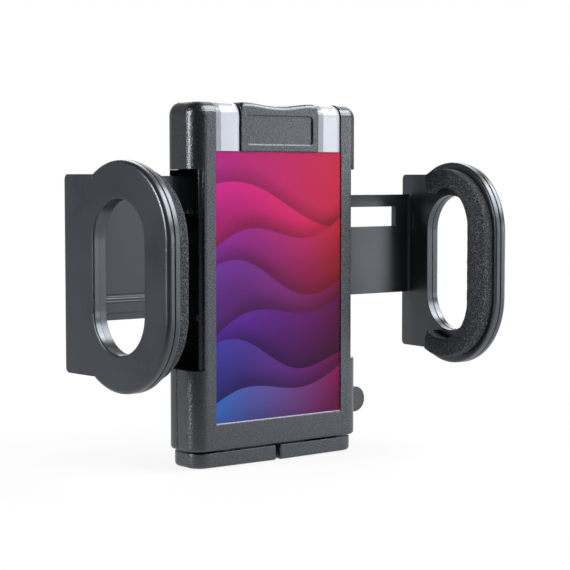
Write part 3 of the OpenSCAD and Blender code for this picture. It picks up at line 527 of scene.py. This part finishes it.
def foam_pad(side):
    """C-shaped foam pad of one jaw: swept round the hoop, with cut ends at the back."""
    sizes = bpy.context.scene.holder_sizes
    outer, inner = sizes.pad_outer, sizes.pad_inner
    lean = sizes.toe_in
    reach, base = sizes.pad_reach, sizes.pad_base
    # The jaw's outer rear edge, found from the pad's own corner in the frame
    far = reach + outer
    jaw_x = pad_low[0] / MM + sizes.pad_face * math.cos(lean) + far * math.sin(lean)
    jaw_y = pad_low[1] / MM - base * math.sin(lean) + far * math.cos(lean)
    middle_z = (pad_low[2] + pad_high[2]) / 2 / MM

    # Route round the hoop as (how far round an end, which end): from the slanted cut at its
    # rear over the straight front to the cut at the other end
    route = [(1 - i / ROUND_STEPS, 1.0) for i in range(ROUND_STEPS + 1)]
    route += [(0.0, 1 - 2 * i / STRAIGHT_STEPS) for i in range(1, STRAIGHT_STEPS)]
    route += [(-i / ROUND_STEPS, -1.0) for i in range(ROUND_STEPS + 1)]
    # Radius, half height and full turn of the inner and the outer rim
    rims = (
        (inner, sizes.pad_inner_half, math.acos((sizes.pad_slant - sizes.pad_end) / inner)),
        (outer, sizes.pad_outer_half, math.acos(-sizes.pad_end / outer)),
    )

    mesh = bmesh.new()
    rings = []
    for turn, end in route:
        inside, outside = (
            Vector((reach + r * math.cos(turn * full),
                    middle_z + end * (half - r) + r * math.sin(turn * full)))
            for r, half, full in rims)
        outward = (outside - inside).normalized()
        ring = []
        for offset, rise in pad_section((outside - inside).length, sizes.pad_face - base):
            forward, z = inside + outward * offset
            depth = base + rise
            x = jaw_x - depth * math.cos(lean) - forward * math.sin(lean)
            y = jaw_y + depth * math.sin(lean) - forward * math.cos(lean)
            ring.append(mesh.verts.new((side * x, y, z)))
        rings.append(ring)
    count = len(rings[0])
    for a, b in zip(rings, rings[1:]):
        for i in range(count):
            j = (i + 1) % count
            mesh.faces.new((a[i], a[j], b[j], b[i]))
    ends = [mesh.faces.new(rings[0]), mesh.faces.new(rings[-1])]
    bmesh.ops.recalc_face_normals(mesh, faces=mesh.faces)
    cut_edges = [edge for face in ends for edge in face.edges]
    bmesh.ops.bevel(mesh, geom=cut_edges, offset=PAD_CUT, segments=2, affect="EDGES")

    mesh.normal_update()
    for vert in mesh.verts:
        depth = (jaw_x - side * vert.co.x) * math.cos(lean) + (vert.co.y - jaw_y) * math.sin(lean)
        if depth > base + PAD_GLUED:
            wave = noise.noise(vert.co * KNIFE_WAVES)
            vert.co += vert.normal * (KNIFE_DEPTH * wave - KNIFE_MEAN)
    bmesh.ops.scale(mesh, vec=(MM,) * 3, verts=mesh.verts)

    name = f"{SIDE_NAMES[side]}_foam"
    data = bpy.data.meshes.new(name)
    mesh.to_mesh(data)
    mesh.free()
    for polygon in data.polygons:
        polygon.use_smooth = True
    piece = bpy.data.objects.new(name, data)
    bpy.context.scene.collection.objects.link(piece)
    return piece


class HOLDER_OT_foam(bpy.types.Operator):
    """Builds the two foam pads in place of their plain solids"""
    bl_idname = "holder.foam"
    bl_label = "Foam pads"

    def execute(self, context):
        foam = open_cell_foam()
        for side, name in SIDE_NAMES.items():
            piece = foam_pad(side)
            piece.data.materials.append(foam)
            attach(piece, f"{name}_arm")
            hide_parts(f"{name}_foam_pad")
        return {"FINISHED"}


def area_lamp(name, at, size, power):
    """A soft box that faces the holder. Power is in watts for its whole area."""
    data = bpy.data.lights.new(name, "AREA")
    data.shape = "RECTANGLE"
    data.size, data.size_y = size
    data.energy = power
    lamp = bpy.data.objects.new(name, data)
    lamp.location = at
    lamp.rotation_euler = (Vector(LAMP_TARGET) - Vector(at)).to_track_quat("-Z", "Y").to_euler()
    bpy.context.scene.collection.objects.link(lamp)


def seen_directly(tree):
    """One for what the camera sees, also in a mirror or through glass."""
    path = add_node(tree, "ShaderNodeLightPath").outputs
    clear = add_node(tree, "ShaderNodeMath",
                     {0: path["Is Camera Ray"], 1: path["Is Transmission Ray"]},
                     operation="MAXIMUM")
    return add_node(tree, "ShaderNodeMath", {0: clear, 1: path["Is Glossy Ray"]},
                    operation="MAXIMUM")


def gloss_level(tree, level):
    """One for every ray but gloss, which sees this level instead."""
    path = add_node(tree, "ShaderNodeLightPath").outputs
    return add_node(tree, "ShaderNodeMix",
                    {"Factor": path["Is Glossy Ray"], "A": 1.0, "B": level})


def fading_along(tree, at, direction, to, span):
    """A level that changes along a direction."""
    reach = add_node(tree, "ShaderNodeVectorMath", {0: at, 1: direction}, operation="DOT_PRODUCT")
    return add_node(tree, "ShaderNodeMapRange", remap(reach.outputs["Value"], to, span))


def fading_paper(hex_colour):
    """White paper floor: it takes the holder's shadow and fades to plain white away from it.
    Gloss sees it glow with painted light, brightest in front of the right side, where the soft
    box stands, and with painted shade in front of the left side."""
    material, tree, shader = new_material("matte_paper", {
        "Base Color": linear(hex_colour), "Roughness": 0.9, "Specular IOR Level": 0.1})
    at = add_node(tree, "ShaderNodeTexCoord").outputs["Object"]
    far = add_node(tree, "ShaderNodeVectorMath", {0: at}, operation="LENGTH").outputs["Value"]
    fade = add_node(tree, "ShaderNodeMapRange", remap(far, to=(0.86, 1.0), span=SHADOW_REACH))
    share = add_node(tree, "ShaderNodeMath", {0: fade, 1: seen_directly(tree)},
                     operation="MULTIPLY")
    # Painted light for gloss: a pool of light in front of the right side and painted shade in front
    # of the left side
    lit = fading_along(tree, at, FRONT_RIGHT, to=(0.58, 1.2), span=(-0.25, 0.25))
    dark = fading_along(tree, at, REAR_RIGHT, to=(0.06, 1.0), span=(-0.2, 0.0))
    level = add_node(tree, "ShaderNodeMath", {0: lit, 1: dark}, operation="MULTIPLY")
    white = add_node(tree, "ShaderNodeEmission", {"Strength": gloss_level(tree, level)})
    mix = add_node(tree, "ShaderNodeMixShader", {0: share, 1: shader, 2: white})
    feed(tree, tree.nodes["Material Output"], {"Surface": mix})
    return material


def studio_world(strength):
    """Plain white light from all round and a white backdrop behind the holder. Gloss sees it
    fade to the room's dark on the camera's side and overhead."""
    world = bpy.data.worlds.new("studio")
    world.use_nodes = True
    tree = world.node_tree
    fill = tree.nodes["Background"]
    feed(tree, fill, {"Color": WHITE, "Strength": strength})
    at = add_node(tree, "ShaderNodeTexCoord").outputs["Generated"]
    dim = fading_along(tree, at, AWAY_AND_DOWN, to=(0.01, 0.55), span=(-0.08, 0.9))
    backdrop = add_node(tree, "ShaderNodeBackground",
                        {"Color": WHITE, "Strength": gloss_level(tree, dim)})
    mix = add_node(tree, "ShaderNodeMixShader", {0: seen_directly(tree), 1: fill, 2: backdrop})
    feed(tree, tree.nodes["World Output"], {"Surface": mix})
    return world


def paper_floor(hex_colour):
    """A square of paper just below the feet."""
    r = FLOOR_HALF
    data = bpy.data.meshes.new("floor")
    data.from_pydata([(-r, -r, 0), (r, -r, 0), (r, r, 0), (-r, r, 0)], [], [(0, 1, 2, 3)])
    data.materials.append(fading_paper(hex_colour))
    floor = bpy.data.objects.new("floor", data)
    floor.location.z = -FLOOR_GAP
    bpy.context.scene.collection.objects.link(floor)
    return floor


def photo_camera(stage):
    """The camera at the photograph's place."""
    data = bpy.data.cameras.new("camera")
    data.lens = stage.lens
    data.sensor_width = SENSOR_MM
    data.clip_start = CLIP_START
    camera = bpy.data.objects.new("camera", data)
    camera.location = stage.camera_at
    camera.rotation_euler = (math.pi / 2 + stage.camera_pitch, 0, -stage.camera_yaw)
    bpy.context.scene.collection.objects.link(camera)
    return camera


class HOLDER_OT_stage(bpy.types.Operator):
    """Sets up the floor, lamps, world and camera"""
    bl_idname = "holder.stage"
    bl_label = "Stage"

    def execute(self, context):
        scene = context.scene
        stage = scene.holder_stage
        paper_floor(stage.paper)
        scene.world = studio_world(stage.fill)
        for name, (at, size) in LAMPS.items():
            area_lamp(name, at, size, getattr(stage, name))
        scene.camera = photo_camera(stage)
        scene.view_settings.view_transform = "Standard"
        return {"FINISHED"}


class HOLDER_PT_panel(bpy.types.Panel):
    """Phone holder settings and steps"""
    bl_idname = "HOLDER_PT_panel"
    bl_label = "Phone Holder"
    bl_space_type = "VIEW_3D"
    bl_region_type = "UI"
    bl_category = "Phone Holder"

    def draw(self, context):
        layout = self.layout
        for name in GROUPS:
            group = getattr(context.scene, name)
            for key in group.__annotations__:
                layout.prop(group, key)
        for operator in OPERATORS:
            layout.operator(operator.bl_idname)


OPERATORS = (HOLDER_OT_housing, HOLDER_OT_panel, HOLDER_OT_trims, HOLDER_OT_arms, HOLDER_OT_jaws,
             HOLDER_OT_foam, HOLDER_OT_mechanism, HOLDER_OT_stage)
GROUPS = {"holder_colours": HolderColours, "holder_sizes": HolderSizes,
          "holder_stage": StageSettings}


def register():
    for cls in (*GROUPS.values(), *OPERATORS, HOLDER_PT_panel):
        bpy.utils.register_class(cls)
    for name, group in GROUPS.items():
        setattr(bpy.types.Scene, name, PointerProperty(type=group))


def unregister():
    for name in GROUPS:
        delattr(bpy.types.Scene, name)
    for cls in (HOLDER_PT_panel, *reversed(OPERATORS), *reversed(GROUPS.values())):
        bpy.utils.unregister_class(cls)


def main():
    register()
    bpy.ops.holder.housing()
    bpy.ops.holder.panel()
    bpy.ops.holder.trims()
    bpy.ops.holder.arms()
    bpy.ops.holder.jaws()
    bpy.ops.holder.foam()
    bpy.ops.holder.mechanism()
    bpy.ops.holder.stage()


if __name__ == "__main__":
    main()
